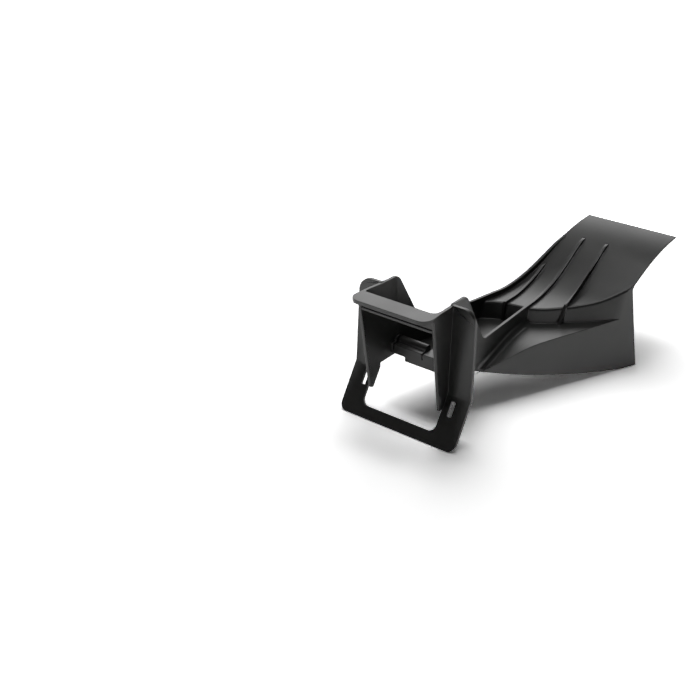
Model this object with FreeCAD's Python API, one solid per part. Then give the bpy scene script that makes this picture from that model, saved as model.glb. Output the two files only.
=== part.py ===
import FreeCAD, Part
import math
import os

Vec = FreeCAD.Vector

# Mulching plug: a one-piece thin-walled moulding that closes a mower's discharge chute.
# Millimetres. X is across the chute, Y runs into it, Z is up.
# Lengths along Y are counted from the frame's front foot edge; the finished solid is then moved, so that
# the origin is the middle of the foot's flat, on the ground.

# Walls of the moulding, and how far one solid is sunk into the next before they are joined
wall = 3.0
cheek_wall = 4.0
sheet_wall = 2.5
sink = 1.0

# Frame: a bent plate around the chute's mouth
frame_width = 160.0
frame_height = 158.5
frame_thickness = 5.0
bend_height = 52.5
foot_reach = 32.2
frame_lean = 3.6
frame_taper = 1.6
frame_top_radius = 17.0
foot_radius = 9.0

# Window through the frame, up to the cheeks' feet; it and the slots go square through the lower plate
window_left = -53.3
window_right = 48.8
window_sill = 12.9
window_radius = 9.0

# Two fixing slots in the slanted lower plate
slot_spacing = 120.4
slot_width = 5.7
slot_bottom = 31.7
slot_top = 46.8
slot_radius = 1.6

# Cheeks: upright walls beside the grip, toed in towards the arm
cheek_rise = 0.5
cheek_half_front = 53.0
cheek_half_frame = 49.5
cheek_front_top = -3.0
right_foot = (15.0, 37.0)
left_foot = (18.0, 32.0)
cheek_apex_radius = 12.0
apex_drop = 2.0
right_apex = 69.5
right_heel = 113.0
left_apex = 67.5
left_heel = 103.0
cheek_heel_radius = 10.0

# Visor grip across the cheeks, with a rail under it
visor_front = -18.5
visor_back = 6.5
visor_thickness = 5.0
visor_corner_radius = 13.0
right_web_radius = 8.0
left_web_radius = 2.5
rail_front = 2.0
rail_depth = 3.5
rail_height = 21.0
rail_rim_height = 3.5
rail_rim_depth = 1.5

# Arm: a channel from the frame to the deflector, between a fin and a lip
arm_front = 54.0
floor_top = 61.0
lip_top = 88.2
fin_half_frame = 47.2
fin_half_end = 36.3
left_knee = [(-50.0, 66.0), (-22.9, 190.0)]

# Snap tab on a cross bar at the arm's mouth
bar_top = 75.5
bar_notch_width = 19.5
bar_notch_depth = 10.0
bar_notch_top = 63.5
ridge_radius = 6.0
ridge_reach = 13.3
tab_left = -41.0
tab_right = 0.0
tab_gap = 2.4
tab_foot = 68.0

# Deflector sheet: one S profile along Y, the same at every X
sheet_level = 82.0
sweep_start = 228.0
sweep_radius = 165.0
climb_angle = 30.5
climb_length = 27.0
crest_radius = 200.0
far_end = 403.0
far_left = 15.0
far_right = 137.0

# Drafted face under the sheet's front edge: plan points at its foot, and how it moves back as it rises
face_foot = [(-230.0, 36.0), (-34.0, 182.0), (7.5, 213.0), (41.0, 220.0), (72.0, 242.0), (108.8, 274.7),
             (122.0, 289.5), (142.0, 312.0), (230.0, 412.0)]
face_foot_height = 64.0
face_draft = (-0.15, 0.18)
face_wall = (-1.7, 2.7)
half_face_wall = (face_wall[0] / 2, face_wall[1] / 2)
crease_radius = 4.0

# Ledge beside the arm, and the skirt wall that hangs from it, its far end turned inwards
ledge_level = 63.5
ledge_rise_angle = 1.9
ledge_bend = 192.0
ledge_bend_radius = 190.0
ledge_drop_angle = 12.7
ledge_corner_radius = 8.0
skirt_near = (41.0, 95.0)
skirt_far = (133.5, 314.0)
skirt_lean = 7.0
skirt_end_lean = 1.4
skirt_return = 16.0
skirt_heel_height = 51.0
skirt_belly = (194.0, 18.8)
skirt_foot_start = 296.0

# Ribs on the sheet
rib_width = 3.6
rib_height = 3.3
rib_end_radius = 26.0
rib_end_length = 13.0
inner_rib_x = 7.5
inner_rib_tip = 311.0
inner_rib_front = 209.5
fin_rib_tip_x = 34.5
rib_tip = 357.0
outer_rib_x = 72.0
outer_rib_tip_x = 67.0
outer_rib_front = 233.0
outer_rib_shoulder = 249.0
lip_crest = [(274.0, 94.7), (310.0, 109.7), (340.0, 124.0)]
lip_tip = (353.0, 128.2)

# Reach of the cutting and bounding solids beyond the part
margin = 60.0
cheek_top = frame_height + cheek_rise
side = far_right + margin
low = -2 * margin
high = cheek_top + margin
near = visor_front - margin
past = far_end + margin


def prism_x(outline, x_low, x_high):
    # Solid from a YZ outline of corners or of edges, drawn out along X.
    if isinstance(outline[0], tuple):
        corners = [Vec(0, y, z) for y, z in outline]
        wire = Part.makePolygon(corners + corners[:1])
    else:
        wire = Part.Wire(outline)
    wire.translate(Vec(x_low, 0, 0))
    return Part.Face(wire).extrude(Vec(x_high - x_low, 0, 0))


def prism_y(outline, y_low, y_high):
    # Solid from XZ corners, drawn out along Y.
    corners = [Vec(x, y_low, z) for x, z in outline]
    wire = Part.makePolygon(corners + corners[:1])
    return Part.Face(wire).extrude(Vec(0, y_high - y_low, 0))


def prism_z(outline, z_low, z_high):
    # Solid from plan corners, drawn up along Z.
    corners = [Vec(x, y, z_low) for x, y in outline]
    wire = Part.makePolygon(corners + corners[:1])
    return Part.Face(wire).extrude(Vec(0, 0, z_high - z_low))


def box(x_span, y_span, z_span):
    corner = Vec(x_span[0], y_span[0], z_span[0])
    return Part.makeBox(x_span[1] - x_span[0], y_span[1] - y_span[0], z_span[1] - z_span[0], corner)


def line(a, b):
    return Part.LineSegment(a, b).toShape()


def arc(a, middle, b):
    return Part.Arc(a, middle, b).toShape()


def closed(edges, corners):
    # Completes a run of edges with straight ones through the given corners.
    return edges + [line(a, b) for a, b in zip(corners, corners[1:])]


def shifted(points, x_step):
    return [(x + x_step, y) for x, y in points]


def beside(points, distance):
    # Mitred line that runs a distance to the right of the given one.
    normals = []
    for (ax, ay), (bx, by) in zip(points, points[1:]):
        length = math.hypot(bx - ax, by - ay)
        normals.append(((by - ay) / length, (ax - bx) / length))
    moved = []
    for index, (x, y) in enumerate(points):
        before = normals[max(index - 1, 0)]
        after = normals[min(index, len(normals) - 1)]
        share = distance / (1 + before[0] * after[0] + before[1] * after[1])
        moved.append((x + share * (before[0] + after[0]), y + share * (before[1] + after[1])))
    return moved


def carved(solid, tools):
    # Takes the tools off a solid, one after another.
    for tool in tools:
        solid = solid.cut(tool)
    return solid


def rounded(solid, radius, chosen):
    # Rounds the edges whose box passes the test.
    return solid.makeFillet(radius, [edge for edge in solid.Edges if chosen(edge.BoundBox)])


def runs_x(span):
    return span.XLength > span.YLength + span.ZLength


def runs_y(span):
    return span.YLength > span.XLength + span.ZLength


def runs_z(span):
    return span.ZLength > span.XLength + span.YLength


# Plan lines of the two side walls, from the visor's corner to where each ends
frame_plane = foot_reach + frame_lean
frame_back = frame_plane + frame_thickness
fin_toe = (fin_half_frame - fin_half_end) / (sweep_start - frame_back)


def fin_at(y):
    # Point on the fin's outer face, which starts behind the frame's plate.
    return (fin_half_frame - fin_toe * (y - frame_back), y)


right_line = [(cheek_half_front, visor_front), (cheek_half_frame, frame_plane), fin_at(frame_back),
              fin_at(far_end)]
left_line = [(-cheek_half_front, visor_front), (-cheek_half_frame, frame_plane)] + left_knee
left_line.append((far_left, far_end))
visor_toe = (cheek_half_front - cheek_half_frame) / (frame_plane - visor_front)


def cheek_half_at(y):
    return cheek_half_front - visor_toe * (y - visor_front)


# Key points of the sheet's S profile
climb = math.radians(climb_angle)
sweep_centre = (sweep_start, sheet_level + sweep_radius)
sweep_end = (sweep_start + sweep_radius * math.sin(climb),
             sheet_level + sweep_radius * (1 - math.cos(climb)))
climb_end = (sweep_end[0] + climb_length * math.cos(climb), sweep_end[1] + climb_length * math.sin(climb))
crest_centre = (climb_end[0] + crest_radius * math.sin(climb), climb_end[1] - crest_radius * math.cos(climb))


def on_circle(middle, radius, angle):
    # Point of a circle in the YZ plane: angle 0 is below the middle, or above it for a negative radius.
    return Vec(0, middle[0] + radius * math.sin(angle), middle[1] - radius * math.cos(angle))


def under_sheet(lift, y_start, y_end):
    # Everything below the S profile, lifted square to the sheet.
    sweep = sweep_radius - lift
    crest = -crest_radius - lift
    last = math.asin((y_end - crest_centre[0]) / crest)
    start = Vec(0, y_start, sheet_level + lift)
    level_end = on_circle(sweep_centre, sweep, 0)
    rise_start = on_circle(sweep_centre, sweep, climb)
    rise_end = on_circle(crest_centre, crest, climb)
    tip = on_circle(crest_centre, crest, last)
    edges = [
        line(start, level_end),
        arc(level_end, on_circle(sweep_centre, sweep, climb / 2), rise_start),
        line(rise_start, rise_end),
        arc(rise_end, on_circle(crest_centre, crest, (climb + last) / 2), tip),
    ]
    return prism_x(closed(edges, [tip, Vec(0, y_end, low), Vec(0, y_start, low), start]), -side, side)


def make_frame():
    # Bent plate with rounded corners, the window and the two slots.
    front = [(-foot_reach, -bend_height), (foot_reach, bend_height),
             (foot_reach + 2 * frame_lean, 2 * frame_height - bend_height)]
    plate = prism_x(front + beside(front, frame_thickness)[::-1], -side, side)
    half = frame_width / 2
    sides = [(half, 0), (half, bend_height), (half - frame_taper, frame_height)]
    outline = prism_y(sides + [(-x, z) for x, z in reversed(sides)], near, past)
    outline = rounded(outline, foot_radius, lambda span: runs_y(span) and span.ZMax < foot_radius)
    outline = rounded(outline, frame_top_radius,
                      lambda span: runs_y(span) and span.ZMin > frame_height - frame_top_radius)
    stretch = math.hypot(foot_reach, bend_height) / bend_height
    gap_left = cheek_wall / 2 - cheek_half_frame
    gap_right = (cheek_half_frame + fin_half_frame - cheek_wall) / 2
    sill = window_sill * stretch
    corners = [(window_left, sill), (window_right, sill), (window_right, right_foot[1] * stretch),
               (gap_left, right_foot[1] * stretch), (gap_left, left_foot[1] * stretch),
               (window_left, left_foot[1] * stretch)]
    window = prism_y(corners, -margin, margin)
    window = rounded(window, window_radius, lambda span: runs_y(span) and span.ZMax < sill + sink)
    square_cuts = [window]
    for middle in (-slot_spacing / 2, slot_spacing / 2):
        slot = box((middle - slot_width / 2, middle + slot_width / 2), (-margin, margin),
                   (slot_bottom * stretch, slot_top * stretch))
        square_cuts.append(rounded(slot, slot_radius, runs_y))
    for cut in square_cuts:
        cut.rotate(Vec(0, 0, 0), Vec(1, 0, 0), -math.degrees(math.atan2(foot_reach, bend_height)))
    gap = box((gap_left, gap_right), (near, past), (right_foot[1] - frame_thickness, high))
    return carved(plate.common(outline), square_cuts + [gap])


def make_cheek(plan, inward, foot, apex, heel, crest, behind):
    # Upright wall: front edge, top that falls a little behind the visor's webs, round apex, sloping rear
    # edge and the level crest along the arm.
    floor_bottom = floor_top - wall
    in_plate = frame_thickness / 2
    plate_foot = foot[1] * foot_reach / bend_height + in_plate
    fall_start = visor_back + max(right_web_radius, left_web_radius)
    profile = [(cheek_front_top, cheek_top), (fall_start, cheek_top), (apex, cheek_top - apex_drop),
               (heel, crest), (sweep_start, crest), (sweep_start, floor_bottom),
               (foot_reach + in_plate, floor_bottom), (foot_reach + in_plate, bend_height),
               (plate_foot, foot[1]), foot]
    plate = prism_x(profile, -side, side)
    plate = rounded(plate, cheek_apex_radius,
                    lambda span: runs_x(span) and abs(span.YMin - apex) < sink)
    plate = rounded(plate, cheek_heel_radius,
                    lambda span: runs_x(span) and abs(span.YMin - heel) < sink and span.ZMin > floor_top)
    return plate.common(prism_z(plan + shifted(plan, inward)[::-1], low, high)).cut(behind)


def make_visor():
    # Grip plate over the front of the cheeks, with a rimmed rail under it.
    back_half = cheek_half_at(visor_back)
    plan = [(-cheek_half_front, visor_front), (cheek_half_front, visor_front), (back_half, visor_back),
            (-back_half, visor_back)]
    plate = prism_z(plan, cheek_top - visor_thickness, cheek_top)
    plate = rounded(plate, visor_corner_radius, lambda span: runs_z(span) and span.YMax < visor_front + sink)
    half = cheek_half_at(rail_front) - cheek_wall / 2
    rail_back = rail_front + rail_depth
    rail_bottom = cheek_top - rail_height
    rail = box((-half, half), (rail_front, rail_back), (rail_bottom, cheek_top - sink))
    rim = box((-half, half), (rail_front - rail_rim_depth, rail_back),
              (rail_bottom, rail_bottom + rail_rim_height))
    return plate.fuse([rail, rim])


def bar_notch():
    # Clearance under the front left of the bar and the floor.
    notch_right = left_line[1][0] + cheek_wall + bar_notch_width
    return box((-side, notch_right), (near, arm_front + bar_notch_depth), (low, bar_notch_top))


def make_bar():
    # Cross bar at the arm's mouth: front wall, shelf and half-round ridge, slit to free the snap tab.
    # Right of the tab only the shelf goes on.
    left = left_knee[0][0] + cheek_wall / 2
    right = fin_at(arm_front)[0] - cheek_wall / 2
    wall_back = arm_front + wall
    wall_foot = floor_top - wall / 2
    ridge_middle = arm_front + ridge_reach
    ridge_front = Vec(0, ridge_middle - ridge_radius, bar_top)
    ridge_back = Vec(0, ridge_middle + ridge_radius, bar_top)
    ridge = arc(ridge_front, Vec(0, ridge_middle, bar_top + ridge_radius), ridge_back)
    corners = [ridge_back, Vec(0, ridge_back.y, bar_top - wall), Vec(0, wall_back, bar_top - wall),
               Vec(0, wall_back, wall_foot), Vec(0, arm_front, wall_foot), Vec(0, arm_front, bar_top),
               ridge_front]
    bar = prism_x(closed([ridge], corners), left, right)
    cuts = [bar_notch(), box((tab_right, side), (near, past), (bar_top, high))]
    for slit_right in (tab_left, tab_right):
        cuts.append(box((slit_right - tab_gap, slit_right), (near, past), (tab_foot, high)))
    return carved(bar, cuts)


def face_zone(shift):
    # Everything in front of the drafted face.
    sections = []
    for height in (face_foot_height - margin, face_foot_height + margin):
        rise = height - face_foot_height
        move = Vec(rise * face_draft[0] + shift[0], rise * face_draft[1] + shift[1], height)
        points = [Vec(x, y, 0) + move for x, y in face_foot]
        curve = Part.BSplineCurve()
        curve.interpolate(points)
        corners = [points[-1], Vec(points[-1].x, near, height), Vec(points[0].x, near, height), points[0]]
        sections.append(Part.Wire(closed([curve.toShape()], corners)))
    return Part.makeLoft(sections, True, True)


def above_ledge(drop):
    # Everything above the ledge, which runs nearly level and then sinks towards the frame.
    rise = math.radians(ledge_rise_angle)
    fall = math.radians(ledge_drop_angle)
    middle = (ledge_bend + ledge_bend_radius * math.sin(rise),
              ledge_level - drop - ledge_bend_radius * math.cos(rise))
    bend_end = on_circle(middle, -ledge_bend_radius, rise)
    bend_start = on_circle(middle, -ledge_bend_radius, fall)
    near_end = Vec(0, near, bend_start.z - (bend_start.y - near) * math.tan(fall))
    far_corner = Vec(0, past, bend_end.z + (past - bend_end.y) * math.tan(rise))
    edges = [
        line(near_end, bend_start),
        arc(bend_start, on_circle(middle, -ledge_bend_radius, (rise + fall) / 2), bend_end),
        line(bend_end, far_corner),
    ]
    corners = [far_corner, Vec(0, past, high), Vec(0, near, high), near_end]
    return prism_x(closed(edges, corners), -side, side)


def skirt_block(inset, end_inset, y_start):
    # Everything to the left of the leaning skirt wall, up to the wall's leaning far end.
    slope = (skirt_far[0] - skirt_near[0]) / (skirt_far[1] - skirt_near[1])
    stretch = math.hypot(1, slope)
    sections = []
    for height in (low, high):
        lean = math.tan(math.radians(skirt_lean)) * (ledge_level - height)
        y_end = skirt_far[1] + math.tan(math.radians(skirt_end_lean)) * (ledge_level - height) - end_inset
        x_near = skirt_near[0] + slope * (y_start - skirt_near[1]) + (lean - inset) * stretch
        x_far = x_near + slope * (y_end - y_start)
        corners = [Vec(-side, y_start, height), Vec(x_near, y_start, height),
                   Vec(x_far, y_end, height), Vec(-side, y_end, height)]
        sections.append(Part.makePolygon(corners + corners[:1]))
    return Part.makeLoft(sections, True, True)


def below_skirt():
    # Everything under the moulding's lower edge, which sinks from the fin to the foot.
    heel = Vec(0, skirt_near[1], skirt_heel_height)
    foot = Vec(0, skirt_foot_start, 0)
    near_end = Vec(0, near, skirt_heel_height)
    edges = [line(near_end, heel), arc(heel, Vec(0, skirt_belly[0], skirt_belly[1]), foot)]
    corners = [foot, Vec(0, past, 0), Vec(0, past, low), Vec(0, near, low), near_end]
    return prism_x(closed(edges, corners), -side, side)


def behind_face():
    # Hollow under the sheet and behind the drafted face, out to the middle of their walls.
    return under_sheet(-sheet_wall / 2, near, past).cut(face_zone(half_face_wall))


def footprint():
    # Everything between the sheet's left edge and the skirt or the flap's right edge.
    lean = math.tan(math.radians(skirt_lean))
    flap_near = skirt_far[0] - lean * (sweep_end[1] - ledge_level)
    flap_start = skirt_far[1] - wall
    flap_plan = [(-side, flap_start), (flap_near - wall, flap_start), (flap_near, skirt_far[1]),
                 (far_right, far_end), (-side, far_end)]
    flap = prism_z(flap_plan, low, high)
    left_cut = prism_z(left_line + [(far_left, past), (-side, past), (-side, visor_front)], low, high)
    return skirt_block(0, 0, arm_front).fuse(flap).cut(left_cut)


def make_deck():
    # Deflector sheet with its front edge turned down into the drafted face.
    zone = face_zone((0, 0))
    deck = under_sheet(0, near, far_end).common(box((-side, side), (near, past), (floor_top - wall, high)))
    deck = deck.cut(zone)
    drafted = [face for face in zone.Faces if face.Surface.TypeId != "Part::GeomPlane"][0]
    crease = []
    for edge in deck.Edges:
        middle = edge.valueAt((edge.FirstParameter + edge.LastParameter) / 2)
        on_face = drafted.distToShape(Part.Vertex(middle))[0] < sink / 100
        if on_face and edge.BoundBox.ZMin > sheet_level - sink:
            crease.append(edge)
    deck = deck.makeFillet(crease_radius, crease).common(footprint())
    return deck.cut(under_sheet(-sheet_wall, near, past).cut(face_zone(face_wall)))


def make_floor():
    # Floor of the arm's channel, notched at the front left.
    slab = prism_z(shifted(left_line[1:], cheek_wall / 2) + shifted(right_line[2:], -cheek_wall / 2)[::-1],
                   floor_top - wall, floor_top)
    cuts = [box((-side, side), (near, arm_front), (low, high)), bar_notch()]
    return carved(slab.common(face_zone(half_face_wall)), cuts)


def make_ledge():
    # Ledge beside the arm, run into the foot of the fin with a round corner.
    fin_line = [fin_at(near), fin_at(past)]
    slab = above_ledge(wall).cut(above_ledge(0))
    slab = slab.common(prism_z(shifted(fin_line, -cheek_wall / 2) + [(side, past), (side, near)], low, high))
    strip = prism_z(fin_line + shifted(fin_line, -cheek_wall)[::-1], low, sheet_level)
    strip = strip.common(above_ledge(wall))
    ledge = strip.fuse(slab).removeSplitter()
    corner = []
    for edge in ledge.Edges:
        middle = edge.valueAt((edge.FirstParameter + edge.LastParameter) / 2)
        on_top = above_ledge(0).distToShape(Part.Vertex(middle))[0] < sink / 100
        on_fin = abs(middle.x - fin_at(middle.y)[0]) < sink / 100
        if on_top and on_fin and runs_y(edge.BoundBox) and middle.z < sheet_level - sink:
            corner.append(edge)
    ledge = ledge.makeFillet(ledge_corner_radius, corner).common(face_zone(half_face_wall))
    arm = prism_z([fin_at(arm_front), fin_at(far_end), (-side, far_end), (-side, arm_front)], low, high)
    return ledge.common(arm.fuse(skirt_block(wall / 2, 0, arm_front))).cut(below_skirt())


def make_skirt():
    # Leaning wall under the ledge's outer edge and the sheet's right edge, its far end turned inwards.
    hollow = [skirt_block(wall, wall, near), skirt_block(skirt_return, 0, near)]
    skirt = carved(skirt_block(0, 0, skirt_near[1]), hollow)
    over_ledge = above_ledge(0).common(face_zone(half_face_wall))
    return carved(skirt.common(under_sheet(-sheet_wall / 2, near, past)), [over_ledge, below_skirt()])


def make_rib(plan, width, y_start, tip, bend_middle, bend_radius):
    # Low rib that follows the sheet; its top runs out into the sheet on a round end tangent to the bend.
    strip = under_sheet(rib_height, near, far_end).cut(under_sheet(-sheet_wall / 2, near, far_end))
    sides = shifted(plan, -width / 2) + shifted(plan, width / 2)[::-1]
    end_start = tip - rib_end_length
    turn = math.asin((end_start - bend_middle[0]) / bend_radius)
    middle = on_circle(bend_middle, bend_radius + rib_end_radius, turn)
    end = Part.makeCylinder(rib_end_radius, 2 * side, Vec(-side, middle.y, middle.z), Vec(1, 0, 0))
    length = box((-side, side), (y_start, end_start), (low, high)).fuse(end)
    return strip.common(prism_z(sides, low, high)).common(length)


def make_ribs():
    sweep = sweep_radius - rib_height
    crest = -crest_radius - rib_height
    inner = [(inner_rib_x, near), (inner_rib_x, past)]
    fin = [(fin_at(sweep_start)[0] - cheek_wall / 2, sweep_start), (fin_rib_tip_x, rib_tip)]
    outer = [(outer_rib_x, outer_rib_front), (outer_rib_tip_x, rib_tip)]
    ribs = [make_rib(inner, rib_width, inner_rib_front + crease_radius, inner_rib_tip, sweep_centre, sweep),
            make_rib(fin, cheek_wall, sweep_start, rib_tip, crest_centre, crest),
            make_rib(outer, rib_width, outer_rib_shoulder, rib_tip, crest_centre, crest)]
    rib_top = sheet_level + rib_height
    front = prism_x([(inner_rib_front, floor_top - sink), (inner_rib_front + rib_height, rib_top),
                     (sweep_start, rib_top), (sweep_start, sheet_level - sink),
                     (inner_rib_front + 2 * rib_height + sink, sheet_level - sink),
                     (inner_rib_front + rib_height + sink, floor_top - sink)],
                    inner_rib_x - rib_width / 2, inner_rib_x + rib_width / 2)
    ribs.append(rounded(front, crease_radius, lambda span: runs_x(span) and span.ZMin > rib_top - sink
                        and span.YMax < sweep_start))
    foot_height = ledge_level - sink
    gusset = [(outer_rib_front, foot_height), (outer_rib_shoulder, rib_top),
              (outer_rib_shoulder + 2 * rib_height, rib_top),
              (outer_rib_shoulder + 2 * rib_height, sheet_level), (outer_rib_shoulder, sheet_level - wall),
              (outer_rib_front + 3 * rib_height, foot_height)]
    ribs.append(prism_x(gusset, outer_rib_x - rib_width / 2, outer_rib_x + rib_width / 2))
    return ribs


def make_lip():
    # Raised left edge of the sheet, fading out up the climb.
    top = Part.BSplineCurve()
    points = [Vec(0, y, z) for y, z in [(sweep_start, lip_top)] + lip_crest + [lip_tip]]
    top.interpolate(points)
    start, tip = points[0], points[-1]
    outline = closed([top.toShape()], [tip, Vec(0, tip.y, low), Vec(0, start.y, low), start])
    band = prism_x(outline, -side, side).cut(under_sheet(-sheet_wall / 2, near, far_end))
    return band.common(prism_z(left_line + shifted(left_line, cheek_wall)[::-1], low, high))


def make_grip():
    # The two cheeks and the visor, webbed together at the visor's back corners.
    hollow = behind_face()
    fin_crest = sheet_level + rib_height
    right = make_cheek(right_line, -cheek_wall, right_foot, right_apex, right_heel, fin_crest, hollow)
    left = make_cheek(left_line, cheek_wall, left_foot, left_apex, left_heel, lip_top, hollow)
    grip = make_visor().fuse([right, left]).removeSplitter()
    for radius, way in ((right_web_radius, 1), (left_web_radius, -1)):
        grip = rounded(grip, radius, lambda span: runs_z(span) and abs(span.YMin - visor_back) < sink
                       and way * span.XMin > 0 and span.ZMin > cheek_top - visor_thickness - sink)
    return grip


os.makedirs("parts", exist_ok=True)
pieces = [make_grip(), make_bar(), make_deck(), make_floor(), make_ledge(), make_skirt(), make_lip()]
plug = make_frame().fuse(pieces + make_ribs()).removeSplitter().Solids[0]
foot_middle = frame_thickness / 2 * math.hypot(foot_reach, bend_height) / bend_height
plug.translate(Vec(0, -foot_middle, 0))
plug.exportStep("parts/mulching_plug.step")
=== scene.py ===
import bpy
import math
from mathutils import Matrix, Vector


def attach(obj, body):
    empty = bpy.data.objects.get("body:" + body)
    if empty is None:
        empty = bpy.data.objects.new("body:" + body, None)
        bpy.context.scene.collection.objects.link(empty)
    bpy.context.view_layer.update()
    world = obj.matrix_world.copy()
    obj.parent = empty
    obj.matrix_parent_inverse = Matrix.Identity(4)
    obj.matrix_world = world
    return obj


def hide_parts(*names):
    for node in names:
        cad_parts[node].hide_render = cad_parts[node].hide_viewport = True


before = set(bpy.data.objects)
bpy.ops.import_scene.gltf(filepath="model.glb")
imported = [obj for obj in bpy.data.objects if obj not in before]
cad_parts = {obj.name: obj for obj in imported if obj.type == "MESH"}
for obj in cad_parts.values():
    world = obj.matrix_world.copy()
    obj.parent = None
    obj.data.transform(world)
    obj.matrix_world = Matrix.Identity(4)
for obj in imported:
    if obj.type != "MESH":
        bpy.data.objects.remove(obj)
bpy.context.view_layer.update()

mm = 0.001


def selectOnly(piece):
    bpy.ops.object.select_all(action="DESELECT")
    piece.select_set(True)
    bpy.context.view_layer.objects.active = piece


def applyModifier(piece, kind, settings):
    selectOnly(piece)
    modifier = piece.modifiers.new(kind.title(), kind)
    for key, value in settings.items():
        setattr(modifier, key, value)
    bpy.ops.object.modifier_apply(modifier=modifier.name)


def linearColour(hexText):
    channels = [int(hexText[i:i + 2], 16) / 255 for i in (1, 3, 5)]
    return [c / 12.92 if c <= 0.04045 else ((c + 0.055) / 1.055) ** 2.4 for c in channels] + [1.0]


def addNode(tree, kind, settings=None, links=None):
    # settings: socket or property to value, links: socket to another node's output
    node = tree.nodes.new(kind)
    for key, value in (settings or {}).items():
        if isinstance(key, str) and hasattr(node, key):
            setattr(node, key, value)
        else:
            node.inputs[key].default_value = value
    for key, output in (links or {}).items():
        tree.links.new(output, node.inputs[key])
    return node


def newMaterial(name):
    material = bpy.data.materials.new(name)
    material.use_nodes = True
    material.node_tree.nodes.clear()
    return material, material.node_tree


# the moulding's finish: black polypropylene from a spark-eroded mould, satin, with a fine even grain
polypropylene = {
    "colour": "#2a2a29",
    "ior": 1.49,
    "roughness": (0.31, 0.38),
    "grainSize": 0.9 * mm,      # real grain is about 0.2 mm, drawn coarser so that it shows in the render
    "grainDepth": 0.05 * mm,
    "grainDetail": 2.0,
    "grainRoughness": 0.6,
    "grainStrength": 0.35,
    "flowSize": 45 * mm,        # slow change of gloss where the melt flowed
    "flowDetail": 3.0,
    "flowRange": (0.3, 0.7),    # the noise's usual span, spread over the roughness above
}


def makePolypropylene():
    p = polypropylene
    material, tree = newMaterial("mouldedBlackPolypropylene")
    place = addNode(tree, "ShaderNodeTexCoord").outputs["Object"]
    grain = addNode(tree, "ShaderNodeTexNoise",
                    {"Scale": 1 / p["grainSize"], "Detail": p["grainDetail"],
                     "Roughness": p["grainRoughness"]},
                    {"Vector": place})
    flow = addNode(tree, "ShaderNodeTexNoise",
                   {"Scale": 1 / p["flowSize"], "Detail": p["flowDetail"]}, {"Vector": place})
    gloss = addNode(tree, "ShaderNodeMapRange",
                    {"From Min": p["flowRange"][0], "From Max": p["flowRange"][1],
                     "To Min": p["roughness"][0], "To Max": p["roughness"][1]},
                    {"Value": flow.outputs["Fac"]})
    bump = addNode(tree, "ShaderNodeBump", {"Strength": p["grainStrength"], "Distance": p["grainDepth"]},
                   {"Height": grain.outputs["Fac"]})
    shader = addNode(tree, "ShaderNodeBsdfPrincipled",
                     {"Base Color": linearColour(p["colour"]), "IOR": p["ior"]},
                     {"Roughness": gloss.outputs["Result"], "Normal": bump.outputs["Normal"]})
    addNode(tree, "ShaderNodeOutputMaterial", None, {"Surface": shader.outputs["BSDF"]})
    return material


# the moulding: the solid's own mesh, merged, with its sharp edges eased as a mould leaves them
moulding = {
    "mergeDistance": 0.002 * mm,
    "flatAngle": math.radians(0.05),    # triangles in one plane become one face
    "edgeRadius": 0.8 * mm,
    "edgeAngle": math.radians(33),      # only edges sharper than this are eased
    "edgeSteps": 2,
    "smoothAngle": math.radians(33),
    "areaWeight": 50,                   # neutral: faces count in the normals by their area
}

# the deflector sheet's S profile along Y: level, sweep, straight climb and crest
sheet = {
    "level": 82.0 * mm,
    "sweepStart": 225.067 * mm,
    "sweepRadius": 165.0 * mm,
    "climbAngle": math.radians(30.5),
    "climbLength": 27.0 * mm,
    "crestRadius": 200.0 * mm,
    "thickness": 2.5 * mm,
    "reach": 0.25 * mm,         # a face this near to the profile, and turned less than this, is the sheet's
    "turn": math.radians(6),
}


def sheetAt(y, z):
    # height above the sheet's top face, square to it, and the face's normal there
    s = sheet
    angle = s["climbAngle"]
    sweepMiddle = Vector((s["sweepStart"], s["level"] + s["sweepRadius"]))
    sweepEnd = sweepMiddle + s["sweepRadius"] * Vector((math.sin(angle), -math.cos(angle)))
    climbEnd = sweepEnd + s["climbLength"] * Vector((math.cos(angle), math.sin(angle)))
    crestMiddle = climbEnd + s["crestRadius"] * Vector((math.sin(angle), -math.cos(angle)))
    if y < s["sweepStart"]:
        return z - s["level"], Vector((0, 0, 1))
    point = Vector((y, z))
    up = Vector((-math.sin(angle), math.cos(angle)))
    along = (point - sweepEnd).dot(Vector((math.cos(angle), math.sin(angle))))
    if along < 0:
        inward = sweepMiddle - point
        return s["sweepRadius"] - inward.length, Vector((0, *inward.normalized()))
    if along < s["climbLength"]:
        return (point - sweepEnd).dot(up), Vector((0, *up))
    outward = point - crestMiddle
    return outward.length - s["crestRadius"], Vector((0, *outward.normalized()))


def smoothSheet(mesh):
    # true normals of the S profile on the sheet's two faces
    normals = [corner.vector.copy() for corner in mesh.corner_normals]
    for face in mesh.polygons:
        height, up = sheetAt(face.center.y, face.center.z)
        if abs(height) < sheet["reach"]:
            way = 1
        elif abs(height + sheet["thickness"]) < sheet["reach"]:
            way = -1
        else:
            continue
        if (way * up).angle(face.normal) < sheet["turn"]:
            for corner in face.loop_indices:
                place = mesh.vertices[mesh.loops[corner].vertex_index].co
                normals[corner] = way * sheetAt(place.y, place.z)[1]
    mesh.normals_split_custom_set(normals)


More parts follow.
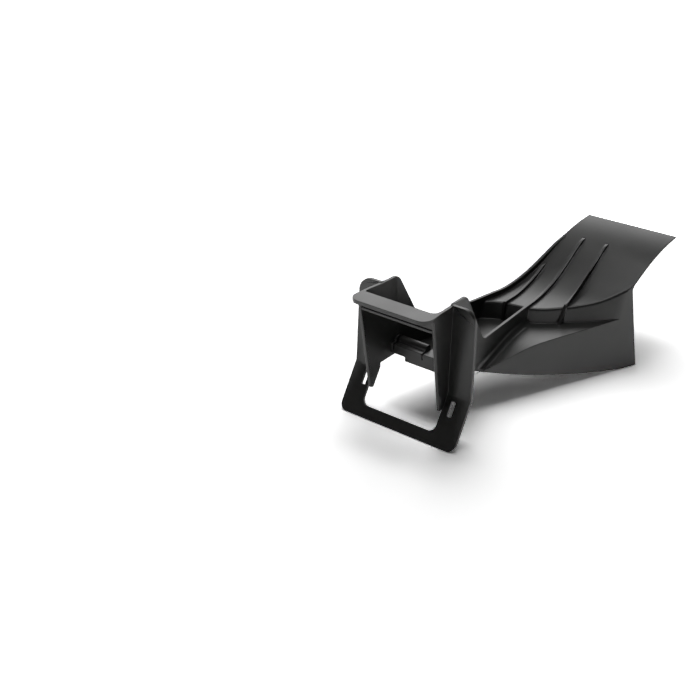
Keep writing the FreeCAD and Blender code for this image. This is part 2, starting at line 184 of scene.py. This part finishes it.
def dressMoulding(finish):
    m = moulding
    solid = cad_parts["mulching_plug"]
    piece = bpy.data.objects.new("plugMoulding", solid.data.copy())
    bpy.context.scene.collection.objects.link(piece)
    selectOnly(piece)
    bpy.ops.object.mode_set(mode="EDIT")
    bpy.ops.mesh.select_all(action="SELECT")
    bpy.ops.mesh.remove_doubles(threshold=m["mergeDistance"])
    bpy.ops.mesh.dissolve_limited(angle_limit=m["flatAngle"])
    bpy.ops.object.mode_set(mode="OBJECT")
    applyModifier(piece, "BEVEL", {
        "width": m["edgeRadius"], "segments": m["edgeSteps"], "limit_method": "ANGLE",
        "angle_limit": m["edgeAngle"], "use_clamp_overlap": False, "miter_outer": "MITER_ARC"})
    selectOnly(piece)
    bpy.ops.object.shade_smooth_by_angle(angle=m["smoothAngle"])
    applyModifier(piece, "WEIGHTED_NORMAL", {
        "mode": "FACE_AREA", "weight": m["areaWeight"], "keep_sharp": True})
    smoothSheet(piece.data)
    piece.data.materials.clear()
    piece.data.materials.append(finish)
    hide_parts("mulching_plug")
    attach(piece, "root")
    print("moulding dressed:", len(piece.data.polygons), "faces")


# white sweep of paper under the part: it takes the shadow, and shows as white further out
paper = {
    "colour": "#f4f4f4",
    "exposure": 2.5,            # how much lighter the camera and mirror rays see it
    "reach": 7.5,
    "wall": 0.8,                # it turns up far out, so that low views end in white too
    "sides": 96,
    "clear": 0.2 * mm,          # gap under the part's foot
    "topFacing": 0.5,           # a face whose normal rises more than this is the open top
    "glowColour": "#ffffff",
    "glowFar": 1.0,             # 1 is white
    "glowStart": 0.30,          # distances from the middle, between which it turns white
    "glowEnd": 0.75,
    "middle": (0.03, 0.15),
}


def layFloor():
    p = paper
    bpy.ops.object.select_all(action="DESELECT")
    bpy.ops.mesh.primitive_cylinder_add(vertices=p["sides"], radius=p["reach"], depth=p["wall"],
                                        location=(0, 0, p["wall"] / 2 - p["clear"]))
    floor = bpy.context.object
    floor.name = "paperFloor"
    bpy.ops.object.mode_set(mode="EDIT")
    bpy.ops.mesh.select_mode(type="FACE")
    bpy.ops.mesh.select_all(action="DESELECT")
    bpy.ops.object.mode_set(mode="OBJECT")
    for face in floor.data.polygons:
        face.select = face.normal.z > p["topFacing"]
    bpy.ops.object.mode_set(mode="EDIT")
    bpy.ops.mesh.delete(type="FACE")
    bpy.ops.mesh.select_all(action="SELECT")
    bpy.ops.mesh.flip_normals()
    bpy.ops.object.mode_set(mode="OBJECT")
    bpy.ops.object.transform_apply(location=True, rotation=False, scale=False)
    material, tree = newMaterial("whitePaperSweep")
    place = addNode(tree, "ShaderNodeTexCoord").outputs["Object"]
    away = addNode(tree, "ShaderNodeVectorMath", {"operation": "DISTANCE", 1: (*p["middle"], 0)}, {0: place})
    rise = addNode(tree, "ShaderNodeMapRange",
                   {"interpolation_type": "SMOOTHSTEP", "From Min": p["glowStart"], "From Max": p["glowEnd"],
                    "To Min": 0.0, "To Max": p["glowFar"]}, {"Value": away.outputs["Value"]})
    ray = addNode(tree, "ShaderNodeLightPath")
    mirrored = addNode(tree, "ShaderNodeMath", {"operation": "MAXIMUM"},
                       {0: ray.outputs["Is Glossy Ray"], 1: ray.outputs["Is Transmission Ray"]})
    shown = addNode(tree, "ShaderNodeMath", {"operation": "MAXIMUM"},
                    {0: ray.outputs["Is Camera Ray"], 1: mirrored.outputs["Value"]})
    seen = addNode(tree, "ShaderNodeMath", {"operation": "MULTIPLY"},
                   {0: rise.outputs["Result"], 1: shown.outputs["Value"]})
    glow = addNode(tree, "ShaderNodeEmission", {"Color": linearColour(p["glowColour"])},
                   {"Strength": seen.outputs["Value"]})
    plain = linearColour(p["colour"])
    lifted = [p["exposure"] * value for value in plain[:3]] + [1.0]
    # sockets 6 and 7 of the mix are its two colours, and output 2 the mixed one
    tint = addNode(tree, "ShaderNodeMix", {"data_type": "RGBA", "clamp_result": False, 6: plain, 7: lifted},
                   {0: shown.outputs["Value"]})
    sheetOfPaper = addNode(tree, "ShaderNodeBsdfDiffuse", None, {"Color": tint.outputs[2]})
    both = addNode(tree, "ShaderNodeAddShader", None,
                   {0: sheetOfPaper.outputs["BSDF"], 1: glow.outputs["Emission"]})
    addNode(tree, "ShaderNodeOutputMaterial", None, {"Surface": both.outputs["Shader"]})
    floor.data.materials.append(material)
    print("floor laid")


# softboxes: place, point aimed at, width and height in metres, watts, whether they light matt surfaces (the
# floor above all), and whether they show in the gloss of the plastic
softboxes = {
    "backCard": {"place": (-1.16, 1.61, 1.28), "aim": (0.03, 0.20, 0.08), "size": (2.0, 1.2), "watts": 22,
                 "onMatt": False, "inGloss": True},
    "leftPanel": {"place": (-0.80, 0.85, 1.75), "aim": (0.03, 0.20, 0.08), "size": (1.6, 1.3), "watts": 17,
                  "onMatt": True, "inGloss": False},
    "topBox": {"place": (-0.12, 0.42, 2.05), "aim": (0.03, 0.10, 0.08), "size": (0.8, 0.6), "watts": 9,
               "onMatt": True, "inGloss": True},
}
roomLight = {"colour": "#ffffff", "strength": 0.06}


def hangLights():
    for name, box in softboxes.items():
        place, aim = Vector(box["place"]), Vector(box["aim"])
        bpy.ops.object.light_add(type="AREA", location=place)
        lamp = bpy.context.object
        lamp.name = name
        lamp.rotation_euler = (aim - place).to_track_quat("-Z", "Y").to_euler()
        lamp.data.shape = "RECTANGLE"
        lamp.data.size, lamp.data.size_y = box["size"]
        lamp.data.energy = box["watts"]
        lamp.visible_camera = False
        lamp.visible_diffuse = box["onMatt"]
        lamp.visible_glossy = box["inGloss"]
    world = bpy.data.worlds.new("studioRoom")
    bpy.context.scene.world = world
    world.use_nodes = True
    room = world.node_tree.nodes["Background"]
    room.inputs["Color"].default_value = linearColour(roomLight["colour"])
    room.inputs["Strength"].default_value = roomLight["strength"]
    print("lights hung")


# the camera, fitted to the part's outline in the photograph
camera = {
    "place": (0.6720, -0.9220, 0.7039),
    "azimuth": 38.667,          # degrees, from straight ahead along Y
    "elevation": 27.817,        # degrees that it looks down
    "lens": 60.45,
    "sensor": 36,
}


def setCamera():
    turn, tilt = math.radians(camera["azimuth"]), math.radians(camera["elevation"])
    ahead = Vector((-math.sin(turn) * math.cos(tilt), math.cos(turn) * math.cos(tilt), -math.sin(tilt)))
    bpy.ops.object.camera_add(location=camera["place"], rotation=ahead.to_track_quat("-Z", "Y").to_euler())
    view = bpy.context.object
    view.name = "photoCamera"
    view.data.lens = camera["lens"]
    view.data.sensor_width = camera["sensor"]
    bpy.context.scene.camera = view
    print("camera set")


bpy.context.scene.view_settings.view_transform = "Standard"
setCamera()
hangLights()
layFloor()
dressMoulding(makePolypropylene())
